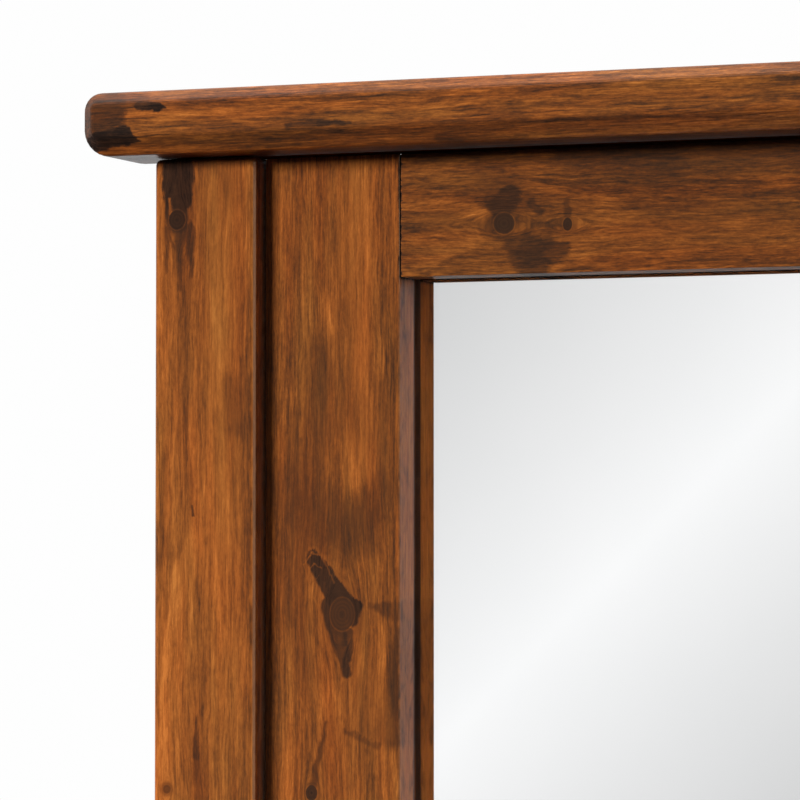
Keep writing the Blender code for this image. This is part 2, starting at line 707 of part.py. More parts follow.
def make_stile(name, side):
    ends = sorted((side * HALF_OPENING, side * FRAME_HALF_WIDTH))
    stile = box(
        name,
        (ends[0], FRAME_FRONT, FRAME_BOTTOM),
        (ends[1], FRAME_BACK, FRAME_TOP),
        STAINED_PINE,
        FRAME_ROUNDING,
    )
    cut_pocket(stile)
    for place in rail_dowel_places(side):
        hole_end = place + X * side * (RAIL_DOWEL_LENGTH / 2 + FIT)
        drill(stile, RAIL_DOWEL_RADIUS + FIT, place - X * side * CUT_PAST, hole_end)
    hole_end = outward(side, FRAME_HALF_WIDTH - INSERT_LENGTH - FIT)
    drill(stile, INSERT_RADIUS + FIT, outward(side, FRAME_HALF_WIDTH + CUT_PAST), hole_end, sides=BORE_SIDES)
    drill_board_screws(stile, lambda place: place.x * side > HALF_OPENING)
    return stile


def make_rail(name, bottom):
    reach = HALF_OPENING - FIT
    rail = box(
        name,
        (-reach, FRAME_FRONT, bottom),
        (reach, FRAME_BACK, bottom + RAIL_HEIGHT),
        STAINED_PINE,
        FRAME_ROUNDING,
    )
    cut_pocket(rail)
    for side in (LEFT, RIGHT):
        for place in rail_dowel_places(side):
            if bottom < place.z < bottom + RAIL_HEIGHT:
                hole_end = place - X * side * (RAIL_DOWEL_LENGTH / 2 + FIT)
                drill(rail, RAIL_DOWEL_RADIUS + FIT, place + X * side * CUT_PAST, hole_end)
    drill_board_screws(rail, lambda place: abs(place.x) < reach and bottom < place.z < bottom + RAIL_HEIGHT)
    return rail


def make_rail_dowels(side_name, side):
    half = X * RAIL_DOWEL_LENGTH / 2
    names = ("bottom_a", "bottom_b", "top_a", "top_b")
    return [
        rod(f"{side_name}_{name}_dowel", RAIL_DOWEL_RADIUS, place - half, place + half, PLAIN_PINE)
        for name, place in zip(names, rail_dowel_places(side))
    ]


def make_glass():
    """Float glass, silvered on its back."""
    return box(
        "mirror_glass",
        (GLASS_PLAY - POCKET_HALF_WIDTH, GLASS_FRONT, POCKET_BOTTOM + GLASS_PLAY),
        (POCKET_HALF_WIDTH - GLASS_PLAY, GLASS_FRONT + GLASS_THICKNESS, POCKET_TOP - GLASS_PLAY),
        SILVERED_GLASS,
        SHEET_EDGE,
        segments=1,
    )


def make_board():
    """The backing board, screwed over the frame's back."""
    half_width = POCKET_HALF_WIDTH + BOARD_LAP
    board = box(
        "backing_board",
        (-half_width, BOARD_FRONT, POCKET_BOTTOM - BOARD_LAP),
        (half_width, BOARD_BACK, POCKET_TOP + BOARD_LAP),
        FIBREBOARD,
        SHEET_EDGE,
        segments=1,
    )
    drill_board_screws(board, lambda place: True)
    return board


def make_board_screws():
    """Pan-headed screws through the board, head out."""
    rim = BOARD_SCREW_HEAD_HEIGHT / 2
    profile = [
        (0, BOARD_SCREW_HEAD_HEIGHT),
        (BOARD_SCREW_HEAD_RADIUS - rim, BOARD_SCREW_HEAD_HEIGHT),
        (BOARD_SCREW_HEAD_RADIUS, BOARD_SCREW_HEAD_HEIGHT - rim),
        (BOARD_SCREW_HEAD_RADIUS, 0),
        (BOARD_SCREW_RADIUS, 0),
        (BOARD_SCREW_RADIUS, 2 * BOARD_SCREW_RADIUS - BOARD_SCREW_LENGTH),
        (0, -BOARD_SCREW_LENGTH),
    ]
    return [
        turned(f"board_screw_{number}", profile, place + Y * FIT, Y, STEEL, steps=SMALL_SIDES)
        for number, place in enumerate(board_screw_places(), start=1)
    ]


def main():
    make_cap()
    make_stretcher()
    tilt = axis_empty("tilt_axis", PIVOT)
    swinging = [
        make_rail("bottom_rail", FRAME_BOTTOM),
        make_rail("top_rail", FRAME_TOP - RAIL_HEIGHT),
        make_glass(),
        make_board(),
        *make_board_screws(),
    ]
    for name, side in SIDES.items():
        make_foot(f"{name}_foot", side)
        make_pads(name, side)
        make_post(f"{name}_post", side)
        make_cap_dowels(name, side)
        make_foot_screw(name, side)
        make_stretcher_fixings(name, side)
        make_bushing(name, side)
        make_inner_washer(name, side)
        swinging += [make_stile(f"{name}_stile", side), make_insert(name, side)]
        swinging += make_rail_dowels(name, side)
        slide = axis_empty(f"{name}_clamp_axis", outward(side, washer_seat()), tilt)
        carry(slide, [make_outer_washer(name, side), *make_knob(name, side)])
    carry(tilt, swinging)


main()
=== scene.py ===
"""Looks of the cheval floor mirror: stained pine, silvered glass and plain hardware in a pale studio.

Every board has its own pine, drawn in millimetres across, into and along the board from a corner of
the mirror's opening, so that grain, knots and stain sit on the wood and run through it.
"""

import math
import random
from typing import NamedTuple

import bmesh
import bpy
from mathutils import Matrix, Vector


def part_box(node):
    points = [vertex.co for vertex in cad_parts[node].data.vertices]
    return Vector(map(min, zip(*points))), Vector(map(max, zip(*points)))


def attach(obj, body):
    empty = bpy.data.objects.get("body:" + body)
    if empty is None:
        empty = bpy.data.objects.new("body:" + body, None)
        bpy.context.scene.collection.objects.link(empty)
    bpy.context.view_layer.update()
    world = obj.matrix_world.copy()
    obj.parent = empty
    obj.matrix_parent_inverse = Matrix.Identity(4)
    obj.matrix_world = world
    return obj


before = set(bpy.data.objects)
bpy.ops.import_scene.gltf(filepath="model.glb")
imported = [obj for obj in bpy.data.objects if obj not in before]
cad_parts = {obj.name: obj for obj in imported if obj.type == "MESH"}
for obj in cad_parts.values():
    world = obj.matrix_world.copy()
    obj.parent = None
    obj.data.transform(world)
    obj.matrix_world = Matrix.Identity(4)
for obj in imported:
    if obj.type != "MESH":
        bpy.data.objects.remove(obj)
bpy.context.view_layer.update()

MM = 0.001

# The corner that the pine is measured from: the top left of the opening, on the frame's front face.
stile_low, stile_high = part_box("left_stile")
CORNER = Vector((stile_high.x, stile_low.y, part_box("top_rail")[0].z))
GLASS_DEPTH = (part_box("mirror_glass")[0].y - CORNER.y) / MM
OPENING_WIDTH = (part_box("right_stile")[0].x - CORNER.x) / MM

# Camera
CAMERA_FROM_CORNER = Vector((0.6644, -1.6863, -0.1240))
CAMERA_TURN = (math.radians(92.19), 0, math.radians(21.5))
CAMERA_LENS = 183.9

# Linear colours of the pine's stain, from the darkest blotch to the palest summer wood
STAIN = (
    (0.00, (0.019, 0.012, 0.009)),
    (0.20, (0.064, 0.029, 0.015)),
    (0.40, (0.147, 0.048, 0.015)),
    (0.60, (0.275, 0.083, 0.018)),
    (0.80, (0.440, 0.134, 0.025)),
    (1.00, (0.640, 0.212, 0.040)),
)
# The pine's thin varnish, and the tones of a blotch, of a knot's halo and of painted shade by the glass
VARNISH_GLOSS, VARNISH_COAT = 0.22, 0.12
BLOTCH_TONE, HALO_TONE, GLASS_RECESS_SHADE_TONE = 0.24, 0.20, 0.03

# Where the cap has no varnish, as (across, into, along) mm from none to all: underneath, over the frame
SHELTERED = ((58.0, 57.0), (-4.0, -1.0), (-119.0, -116.0))
# Its worn upper chamfer, as (across, along) from none to all
WORN = ((78.5, 80.0), (-90.0, 0.0))

# What the glass mirrors, as directions: straight out, to the right, and up across the view
MIRRORED_WAY = Vector((-0.3662, -0.9297, 0.0382))
MIRRORED_RIGHT = Vector((0.9304, -0.3665, 0.0))
MIRRORED_UP = Vector((0.0140, 0.0355, 0.9993))
# Its diagonal sheen: the brightest line's offset, the fall to each side of it, and both ends of the
# scale, as display values
SHEEN_OFFSET, SHEEN_FALL, SHEEN_TOP, SHEEN_LEAST = 0.0942, 1.3784, 0.9843, 0.6667
SHEEN_GAIN = 1.115


# ---------------------------------------------------------------- shader arithmetic


class Field:
    """A number that varies over a surface: a shader socket that takes Python's arithmetic."""

    def __init__(self, socket):
        self.socket = socket
        self.tree = socket.id_data

    def math(self, operation, *others, clamp=False):
        return calculate(self.tree, operation, self, *others, clamp=clamp)

    def __add__(self, other):
        return self.math("ADD", other)

    def __sub__(self, other):
        return self.math("SUBTRACT", other)

    def __rsub__(self, other):
        return calculate(self.tree, "SUBTRACT", other, self)

    def __mul__(self, other):
        return self.math("MULTIPLY", other)

    def __truediv__(self, other):
        return self.math("DIVIDE", other)

    def __rtruediv__(self, other):
        return calculate(self.tree, "DIVIDE", other, self)

    __radd__ = __add__

    def power(self, exponent):
        return self.math("POWER", exponent)

    def least(self, other):
        return self.math("MINIMUM", other)

    def most(self, other):
        return self.math("MAXIMUM", other)

    def size(self):
        return self.math("ABSOLUTE")

    def root(self):
        return self.math("SQRT")

    def fraction(self):
        return self.math("FRACT")

    def sine(self):
        return self.math("SINE")

    def clamped(self):
        return self.math("ADD", 0.0, clamp=True)

    def step(self, low, high, top=1.0):
        """0 below low and top above high, smoothly between. It falls instead where low is above high."""
        node = self.tree.nodes.new("ShaderNodeMapRange")
        node.interpolation_type = "SMOOTHSTEP"
        for port, value in zip(("Value", "From Min", "From Max", "To Max"), (self, low, high, top)):
            feed(node.inputs[port], value)
        return Field(node.outputs["Result"])

    def towards(self, target, share):
        """This value mixed with target by share."""
        node = self.tree.nodes.new("ShaderNodeMix")
        for port, value in zip((node.inputs[0], node.inputs[2], node.inputs[3]), (share, self, target)):
            feed(port, value)
        return Field(node.outputs[0])

    def scaled(self, factor, added):
        return self.math("MULTIPLY_ADD", factor, added)

    def vector(self, operation, other=None):
        """A vector operation with a vector. Its result is a vector, but a number for a dot product."""
        node = self.tree.nodes.new("ShaderNodeVectorMath")
        node.operation = operation
        feed(node.inputs[0], self)
        if other is not None:
            feed(node.inputs[1], other)
        return Field(node.outputs["Value" if operation in ("DOT_PRODUCT", "LENGTH") else "Vector"])

    def length(self):
        return self.vector("LENGTH")

    def times(self, direction):
        """A constant vector scaled by this number."""
        node = self.tree.nodes.new("ShaderNodeVectorMath")
        node.operation = "SCALE"
        node.inputs[0].default_value = direction
        feed(node.inputs["Scale"], self)
        return Field(node.outputs["Vector"])


def feed(port, value):
    if isinstance(value, Field):
        port.id_data.links.new(value.socket, port)
    else:
        port.default_value = value


def calculate(tree, operation, *values, clamp=False):
    node = tree.nodes.new("ShaderNodeMath")
    node.operation = operation
    node.use_clamp = clamp
    for port, value in zip(node.inputs, values):
        feed(port, value)
    return Field(node.outputs[0])


def together(tree, x, y, z):
    node = tree.nodes.new("ShaderNodeCombineXYZ")
    for port, value in zip(node.inputs, (x, y, z)):
        feed(port, value)
    return Field(node.outputs[0])


def apart(field):
    node = field.tree.nodes.new("ShaderNodeSeparateXYZ")
    feed(node.inputs[0], field)
    return [Field(port) for port in node.outputs]


def cloud(place, detail=2.0, roughness=0.5, distortion=0.0):
    """Noise at a place, about -1 to 1."""
    node = place.tree.nodes.new("ShaderNodeTexNoise")
    feed(node.inputs["Vector"], place)
    node.inputs["Scale"].default_value = 1.0
    node.inputs["Detail"].default_value = detail
    node.inputs["Roughness"].default_value = roughness
    node.inputs["Distortion"].default_value = distortion
    return (Field(node.outputs["Fac"]) - 0.5) * 3.2


def coloured(field, stops):
    """The colour of a value on a scale of (place, linear colour)."""
    node = field.tree.nodes.new("ShaderNodeValToRGB")
    scale = node.color_ramp.elements
    while len(scale) < len(stops):
        scale.new(0.5)
    for element, (place, colour) in zip(scale, stops):
        element.position = place
        element.color = (*colour, 1.0)
    feed(node.inputs["Fac"], field)
    return Field(node.outputs["Color"])


def mixed(share, first, second):
    """Colour first mixed with colour second by share. Each is a Field or a linear colour."""
    node = share.tree.nodes.new("ShaderNodeMix")
    node.data_type = "RGBA"
    feed(node.inputs[0], share)
    for port, colour in ((node.inputs[6], first), (node.inputs[7], second)):
        feed(port, colour if isinstance(colour, Field) else (*colour, 1.0))
    return Field(node.outputs[2])


def noise(axes, scale, *settings):
    """Noise over three coordinates, with a scale for each. settings are those of cloud."""
    return cloud(together(axes[0].tree, *(axis * factor for axis, factor in zip(axes, scale))), *settings)


def new_material(name, **settings):
    """A material, its Principled shader, and the fields of the object's own coordinates in mm."""
    material = bpy.data.materials.new(name)
    material.use_nodes = True
    tree = material.node_tree
    shader = tree.nodes["Principled BSDF"]
    for socket, value in settings.items():
        shader.inputs[socket.replace("_", " ")].default_value = value
    place = Field(tree.nodes.new("ShaderNodeTexCoord").outputs["Object"])
    return material, shader, [axis * (1 / MM) for axis in apart(place)]


def bumped(shader, height, distance, strength):
    """Fine relief of a height field. distance is in metres."""
    node = shader.id_data.nodes.new("ShaderNodeBump")
    node.inputs["Distance"].default_value = distance
    node.inputs["Strength"].default_value = strength
    feed(node.inputs["Height"], height)
    feed(shader.inputs["Normal"], Field(node.outputs["Normal"]))


# ---------------------------------------------------------------- pine


class Knot(NamedTuple):
    """A knot at (across, along) mm, drawn out along the grain by stretch. halo is how dark its rim is."""

    across: float
    along: float
    radius: float
    stretch: float
    tone: float
    halo: float


class Stroke(NamedTuple):
    """A patch of stain from one point to another, in mm (across, along), with a radius at each end.

    tone is what it takes the stain to and share how far, soft the width of its edge in mm and ragged
    how far the edge wanders.
    """

    start: tuple
    end: tuple
    radii: tuple
    tone: float
    share: float
    soft: float
    ragged: float


def distance_to(stroke, place):
    """How far a place (across, along) is outside a stroke, in mm."""
    start, end = (Vector((*point, 0.0)) for point in (stroke.start, stroke.end))
    run = end - start
    away = place.vector("SUBTRACT", start)
    share = away.vector("DOT_PRODUCT", run / max(run.length_squared, 1e-6)).clamped()
    centre = share.times(run)
    low, high = stroke.radii
    return away.vector("SUBTRACT", centre).length() - share.scaled(high - low, low)


GRAIN = {"X": (2, 1, 0), "Y": (2, 0, 1), "Z": (0, 1, 2)}  # the axes across, into and along a board


def pine(
    name,
    grain,
    seed,
    level,
    pith,
    taper,
    ring=3.4,
    knots=(),
    strokes=(),
    contrast=1.0,
    short=1.0,
    bands=0.22,
    lines=0.22,
    grey=0.0,
    inner_edge=None,
    sheltered=False,
):
    """Stained pine whose grain runs along one axis.

    level is its general tone, pith where the tree's middle lies (across, into) in mm, taper how much a
    ring's radius changes along the board and ring the width of a ring. contrast scales the fine grain,
    short shortens it, bands and lines are how strongly broad bands and growth rings show, and grey cools
    the hue. inner_edge is where along the width a board meets the glass, and sheltered is for the cap.
    """
    material, shader, axes = new_material(
        name, Coat_Weight=VARNISH_COAT, Coat_Roughness=0.25, Specular_IOR_Level=VARNISH_GLOSS
    )
    tree = material.node_tree
    across, into, along = (axes[i] - CORNER[i] / MM for i in GRAIN[grain])
    drift = 37.0 * seed  # moves each board to its own part of the noise

    def at(fine_across, fine_along, a=across, step=0.0):
        """A place in the noise, this fine across and along the grain. step keeps one noise from another."""
        return together(tree, a * fine_across + (drift + step), into * fine_across, along * fine_along)

    # The grain wanders, and parts round each knot.
    wander = cloud(at(0.02, 0.006), detail=1.0)
    ripple = cloud(at(0.22, 0.045, step=7.0), detail=2.0)
    flow = across + wander * 1.6 + ripple * 0.7
    marks = []
    face = together(tree, across, along, 0.0)
    for knot in knots:
        beside = face.vector("SUBTRACT", Vector((knot.across, knot.along, 0.0)))
        round_it = beside.vector("MULTIPLY", Vector((1.0, 1 / knot.stretch, 0.0)))
        # The parting reaches further along the grain than across it.
        reach = beside.vector("MULTIPLY", Vector((1.0, 0.42, 0.0))).length().power(2.0)
        limit = knot.radius**2
        flow = flow - (across - knot.across) * (limit / reach.most(limit))
        marks.append((knot, round_it.length()))

    # Growth rings, cut by the board's faces
    crooked = cloud(at(0.03, 0.007, step=11.0), detail=2.0)
    radius = ((flow - pith[0]).power(2.0) + (into - pith[1]).power(2.0)).root()
    phase = ((radius + along * taper + crooked * 2.2) / ring).fraction()
    late = phase.step(0.35, 0.92) * phase.step(1.0, 0.95)
    fade = cloud(at(0.05, 0.008, step=23.0), detail=1.0).step(-0.6, 0.9)

    # Stain in the grain
    wide = cloud(at(0.085, 0.0042, flow, 31.0), 3.0, 0.55)
    streak = cloud(at(0.42, 0.014 * short, flow, 41.0), 4.0, 0.62).step(-0.7, 0.7).scaled(2.0, -1.0)
    strand = cloud(at(0.80, 0.030 * short, flow, 47.0), 3.0, 0.62)
    dash = cloud(at(0.62, 0.120, flow, 59.0), 3.0, 0.68)
    fibre = cloud(at(1.9, 0.070 * short, flow, 53.0), 2.0, 0.6)
    fleck = cloud(at(1.25, 0.34, flow, 61.0), 3.0, 0.7)
    patch = cloud(at(0.055, 0.020, flow, 71.0), 4.0, 0.62)
    fine = streak * 0.095 + strand * 0.20 + dash * 0.10 + fibre * 0.12 + fleck * 0.13
    tone = level + wide * bands + fine * contrast
    tone = tone + (late * fade) * lines - 0.04
    tone = tone - fleck.step(0.35, 1.1, 0.14)
    tone = tone.towards(BLOTCH_TONE, patch.step(0.50, 1.15, 0.25))

    # Patches listed one by one, with some of the fine grain kept in them
    if strokes:
        rough = cloud(at(0.35, 0.22, step=83.0), detail=3.0, roughness=0.65)
        shift = cloud(at(0.16, 0.10, step=97.0), detail=2.0)
        edges = rough * 0.8 + fibre * 0.35
        laid = together(tree, across + shift, along + rough * 1.2, 0.0)
        kept = fine * (contrast * 0.45)
        for stroke in strokes:
            away = distance_to(stroke, laid) + edges * stroke.ragged
            tone = tone.towards(kept + stroke.tone, away.step(stroke.soft, -stroke.soft, stroke.share))

    # Knots: a dark halo, a core of close rings with a dark heart, and a pale bark line round it
    for knot, away in marks:
        away = away + crooked * (0.10 * knot.radius) + fleck * 0.12
        halo = away.step(2.3 * knot.radius, 0.9 * knot.radius, knot.halo)
        tone = tone.towards(HALO_TONE, halo)
        core = away.step(knot.radius + 0.25, knot.radius - 0.25, 0.92)
        rings = (away * 4.6 + crooked * 3.0 + fleck * 1.2).sine() * 0.022
        inside = rings + (knot.tone + 0.01) + fleck * 0.02 - away.step(0.22 * knot.radius, 0.0) * 0.08
        tone = tone.towards(inside, core)
        bark = (away - (knot.radius + 0.25)).size().step(0.45, 0.1, 0.11 * min(1.0, knot.radius / 4))
        tone = tone + bark

    # Painted shade in the recess where a board meets the glass
    if inner_edge is not None:
        near = (across - inner_edge).size().step(3.0, 1.5)
        deep = into.step(GLASS_DEPTH - 2.2, GLASS_DEPTH - 0.4, 0.85)
        tone = tone.towards(GLASS_RECESS_SHADE_TONE, near * deep)

    # The colour drifts between a redder and a greyer stain, and the darkest stain is dull.
    colour = coloured(tone, STAIN)
    hue = cloud(at(0.10, 0.012, step=103.0), detail=3.0) + grey
    tint = mixed(hue.step(-1.0, 1.2), (1.06, 0.93, 0.95), (0.91, 1.03, 1.15))
    feed(shader.inputs["Base Color"], tint.vector("MULTIPLY", colour))
    rough = 0.42 + fleck * 0.035 - tone * 0.08
    feed(shader.inputs["Roughness"], rough + tone.step(0.14, 0.04, 0.4))
    if sheltered:
        # No varnish underneath, and half of it on the worn upper chamfer
        bare = across.step(*SHELTERED[0]) * into.step(*SHELTERED[1]) * along.step(*SHELTERED[2])
        bare = bare + across.step(*WORN[0], 0.5) * along.step(*WORN[1])
        feed(shader.inputs["Specular IOR Level"], VARNISH_GLOSS - bare * VARNISH_GLOSS)
        feed(shader.inputs["Coat Weight"], VARNISH_COAT - bare * VARNISH_COAT)
    height = fibre * 0.30 + fleck * 0.35 + late * fade * 0.30
    bumped(shader, height, 0.00012, 0.55)
    return material


def scattered(seed, across, along, count, largest=6.0):
    """Knots spread over a board, the same each run."""
    chance = random.Random(seed)
    return [
        Knot(
            chance.uniform(*across),
            along[0] + (along[1] - along[0]) * (n + chance.uniform(0.2, 0.8)) / count,
            chance.uniform(0.35, 1.0) * largest,
            stretch=chance.uniform(1.0, 1.5),
            tone=chance.uniform(0.14, 0.24),
            halo=chance.uniform(0.15, 0.4),
        )
        for n in range(count)
    ]


def use(material, *nodes):
    """Give these nodes of the part this material alone."""
    for node in nodes:
        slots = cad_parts[node].data.materials
        slots.clear()
        slots.append(material)


STILE_STROKES = (
    # the joint with the rail
    Stroke((0.2, 0), (0.2, 57), (0.6, 0.6), 0.02, 0.95, 0.4, 0.1),
    # broad darker and brighter areas of the stain
    Stroke((-38, -30), (-42, -120), (6, 11), 0.36, 0.6, 8.0, 3.0),
    Stroke((-50, -60), (-52, -150), (4, 6), 0.36, 0.5, 5.0, 2.0),
    Stroke((-8, -48), (-6, -92), (3, 5), 0.38, 0.6, 4.0, 2.0),
    Stroke((-22, 40), (-18, -100), (6, 7), 0.74, 0.5, 6.0, 2.0),
    Stroke((-46, -8), (-47.4, -70), (0.2, 0.6), 0.80, 0.6, 0.9, 0.5),
    Stroke((-47.2, -62), (-49.5, -116), (0.5, 0.1), 0.70, 0.4, 1.2, 0.5),
    Stroke((-60, -92), (-20, -112), (9, 14), 0.33, 0.55, 9.0, 3.0),
    Stroke((-24, -112), (-8, -96), (10, 8), 0.30, 0.55, 6.0, 2.5),
    Stroke((-38, -30), (-30, -62), (5, 12), 0.38, 0.45, 7.0, 2.0),
    Stroke((-2, -148), (-14, -146), (5, 1), 0.26, 0.6, 1.5, 1.2),
    Stroke((1, -152), (-3, -200), (2, 9), 0.25, 0.75, 2.5, 1.5),
    Stroke((-46, -150), (-44, -176), (6, 7), 0.36, 0.4, 6.0, 2.0),
    Stroke((-22, -165), (-12, -200), (7, 10), 0.66, 0.55, 6.0, 1.5),
    Stroke((-27, -186), (-36, -206), (0.8, 1.4), 0.66, 0.5, 1.2, 1.0),
    Stroke((-26, -202), (-11, -208), (1.0, 1.6), 0.28, 0.5, 1.0, 1.4),
    Stroke((-35, -198), (-41.5, -226), (0.5, 1.6), 0.26, 0.8, 0.8, 0.6),
    # the teardrop that the big knot hangs in, with its pale outline
    Stroke((-41.5, -124.5), (-26.0, -150), (4.6, 10.5), 0.62, 0.55, 0.7, 0.5),
    Stroke((-27.5, -150), (-24.5, -177), (10.5, 3.2), 0.62, 0.45, 0.7, 0.5),
    Stroke((-41.5, -125), (-27.0, -146), (3.4, 6.0), 0.10, 0.85, 0.7, 0.9),
    Stroke((-21.6, -146.4), (-21.8, -153), (3.6, 2.2), 0.08, 0.90, 0.7, 0.9),
    Stroke((-32.5, -146), (-25.5, -176), (5.5, 2.2), 0.15, 0.85, 0.8, 0.7),
    Stroke((-24.5, -158), (-24.0, -170), (2.8, 1.0), 0.14, 0.7, 0.6, 0.9),
    Stroke((-46.4, -128), (-38.6, -150), (0.25, 0.35), 0.68, 0.8, 0.45, 0.25),
    Stroke((-38.6, -150), (-31.0, -173), (0.35, 0.25), 0.62, 0.7, 0.45, 0.25),
    Stroke((-46.3, -128), (-42.6, -122.6), (0.3, 0.3), 0.72, 0.8, 0.45, 0.25),
    Stroke((-42.6, -122.6), (-38.0, -123.4), (0.3, 0.3), 0.68, 0.7, 0.45, 0.25),
    Stroke((-38.0, -123.4), (-31.5, -136.0), (0.3, 0.2), 0.62, 0.6, 0.45, 0.25),
    Stroke((-44.2, -131.5), (-40.8, -127.4), (0.25, 0.25), 0.60, 0.7, 0.4, 0.2),
    Stroke((-40.8, -127.4), (-37.6, -129.6), (0.25, 0.25), 0.56, 0.7, 0.4, 0.2),
    Stroke((-42.4, -136.0), (-38.8, -132.6), (0.25, 0.2), 0.50, 0.7, 0.4, 0.2),
    Stroke((-26.4, -148), (-25.4, -154.5), (0.2, 0.3), 0.58, 0.7, 0.35, 0.2),
    # the face beside the glass and its arris made paler: painted light, with a painted highlight on the
    # arris
    Stroke((0.3, -2), (0.3, -1330), (0.6, 0.6), 0.90, 0.72, 0.5, 0.2),
)
POST_STROKES = (
    # the arris, paler from wear and from a painted highlight, a broad bright area, and painted shade under
    # the cap
    Stroke((-67.2, 50), (-67.2, -1560), (1.0, 1.0), 0.96, 0.7, 0.8, 0.5),
    Stroke((-84, 50), (-80, -120), (9, 7), 0.76, 0.5, 7.0, 2.0),
    Stroke((-116, 57), (-66, 57), (3.5, 3.5), 0.16, 0.6, 4.0, 1.0),
    # the dark patch that the upper knot hangs in, with its pale cracks and dark tails
    Stroke((-104.5, 50), (-104.0, 38), (8.2, 7.2), 0.07, 0.88, 0.8, 1.0),
    Stroke((-105, 36), (-104.5, 27), (6.5, 5.0), 0.13, 0.8, 1.0, 1.4),
    Stroke((-108.8, 37), (-107.5, 31), (0.6, 1.1), 0.66, 0.9, 0.5, 0.4),
    Stroke((-99.5, 33), (-98.0, 27), (0.5, 1.0), 0.55, 0.7, 0.6, 0.4),
    Stroke((-104, 22), (-103, -4), (2.6, 0.4), 0.24, 0.8, 1.2, 0.8),
    Stroke((-99, 24), (-97.5, 2), (3.0, 0.4), 0.22, 0.8, 1.2, 0.8),
    Stroke((-109.5, 24), (-110, 4), (1.6, 0.3), 0.30, 0.7, 1.0, 0.8),
    # smaller marks down the board
    Stroke((-88, 55), (-76, 36), (4, 3), 0.38, 0.35, 5.0, 2.0),
    Stroke((-78, -46), (-75, -66), (4, 5), 0.36, 0.55, 4.0, 2.0),
    Stroke((-96.9, -101), (-96.6, -106), (0.4, 0.5), 0.14, 0.8, 0.5, 0.3),
    Stroke((-95, -196), (-94.8, -214), (0.4, 1.4), 0.22, 0.8, 1.0, 0.5),
    Stroke((-94.8, -214), (-94.8, -236), (1.0, 0.8), 0.32, 0.6, 1.4, 0.6),
    Stroke((-116, -112), (-114, -124), (3, 4), 0.36, 0.5, 4.0, 1.5),
)
RAIL_STROKES = (
    # the joint with the stile, painted shade under the cap, and a painted highlight on the lower arris and
    # the face under it
    Stroke((0, 0), (57, 0), (0.6, 0.6), 0.02, 0.95, 0.4, 0.1),
    Stroke((56, -2), (56, 375), (0.8, 0.8), 0.02, 0.9, 1.0, 0.2),
    Stroke((58, -2), (58, 375), (5, 5), 0.12, 0.5, 6.0, 1.0),
    Stroke((0.2, -2), (0.2, 375), (0.4, 0.4), 0.92, 0.6, 0.5, 0.2),
    # broad darker areas along the top
    Stroke((50, 42), (34, 50), (8, 9), 0.30, 0.45, 7.0, 2.5),
    Stroke((53, 80), (47, 124), (7, 9), 0.17, 0.70, 7.0, 2.5),
    Stroke((50, 124), (48, 220), (8, 8), 0.26, 0.55, 7.0, 2.5),
    # the blotches round the two knots
    Stroke((30, 48), (34, 52), (5.5, 5.5), 0.17, 0.80, 0.9, 1.2),
    Stroke((33, 43), (30, 44), (3.0, 3.0), 0.20, 0.70, 1.0, 1.0),
    Stroke((31, 62), (27, 66), (2.2, 1.6), 0.18, 0.75, 1.0, 1.0),
    Stroke((13, 53), (4, 62), (4.0, 8.0), 0.20, 0.70, 2.2, 2.0),
    Stroke((9, 62), (10, 76), (7.0, 4.0), 0.20, 0.75, 1.6, 1.6),
    Stroke((17, 60), (12, 66), (2.0, 3.0), 0.19, 0.6, 1.0, 1.2),
    Stroke((31, 78.5), (25, 79), (1.4, 1.8), 0.22, 0.7, 0.8, 0.6),
    Stroke((21, 110), (24, 170), (7, 8), 0.44, 0.35, 7.0, 2.0),
    Stroke((24, 8), (26, 22), (1.5, 4.0), 0.55, 0.5, 2.0, 1.0),
)
CAP_STROKES = (
    # the dark end and its two black blotches
    Stroke((64, -150), (76, -127), (12, 9), 0.14, 0.78, 2.5, 2.0),
    Stroke((61, -139), (64.5, -119), (3.0, 4.5), 0.02, 0.92, 0.6, 0.8),
    Stroke((64.5, -121), (62.0, -111.5), (3.6, 0.5), 0.02, 0.92, 0.6, 0.8),
    Stroke((77.0, -112), (76.5, -102), (1.6, 1.8), 0.03, 0.92, 0.5, 0.7),
    Stroke((76.8, -101), (76.0, -98), (1.4, 0.3), 0.03, 0.90, 0.5, 0.4),
    Stroke((74.6, -109), (75.2, -105), (0.4, 0.5), 0.70, 0.8, 0.4, 0.3),
    # streaks along the front, and darker marks on both chamfers
    Stroke((66.0, -40), (66.0, -24), (0.7, 1.3), 0.14, 0.80, 0.9, 0.6),
    Stroke((66.0, -24), (65.7, -9), (1.6, 0.2), 0.12, 0.85, 0.6, 0.5),
    Stroke((67.0, -75), (69.0, -45), (2.0, 1.0), 0.30, 0.45, 1.6, 1.0),
    Stroke((56.0, -30), (57.0, 40), (1.5, 1.5), 0.24, 0.5, 1.6, 1.4),
    Stroke((57.5, 30), (57.5, 70), (2.0, 1.0), 0.20, 0.5, 1.2, 1.6),
    Stroke((80, -134), (80, -112), (6, 5), 0.36, 0.5, 2.0, 2.0),
)

STILE_KNOTS = (
    Knot(-27.6, -149.8, 5.7, 1.28, 0.23, 0.25),
    Knot(-42.3, -229.5, 2.6, 1.25, 0.15, 0.35),
    *scattered(31, (-55, -10), (-1330, -300), 5, 5.0),
)
POST_KNOTS = (
    Knot(-104.8, 28.0, 4.2, 1.10, 0.10, 0.20),
    Knot(-109.3, -228.8, 1.9, 1.00, 0.40, 0.50),
    *scattered(51, (-112, -75), (-1500, -320), 5, 5.0),
)
RAIL_KNOTS = (
    Knot(22.4, 49.4, 4.7, 1.05, 0.16, 0.25),
    Knot(21.2, 78.9, 2.9, 0.75, 0.13, 0.30),
    Knot(30.0, 262.0, 5.0, 1.30, 0.15, 0.30),
)
CAP_KNOTS = (Knot(70.0, 330.0, 6.0, 1.20, 0.15, 0.35),)


def span_of(board, axis):
    """Where a board starts and ends on an axis, in mm from the corner."""
    return [(end[axis] - CORNER[axis]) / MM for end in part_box(board)]


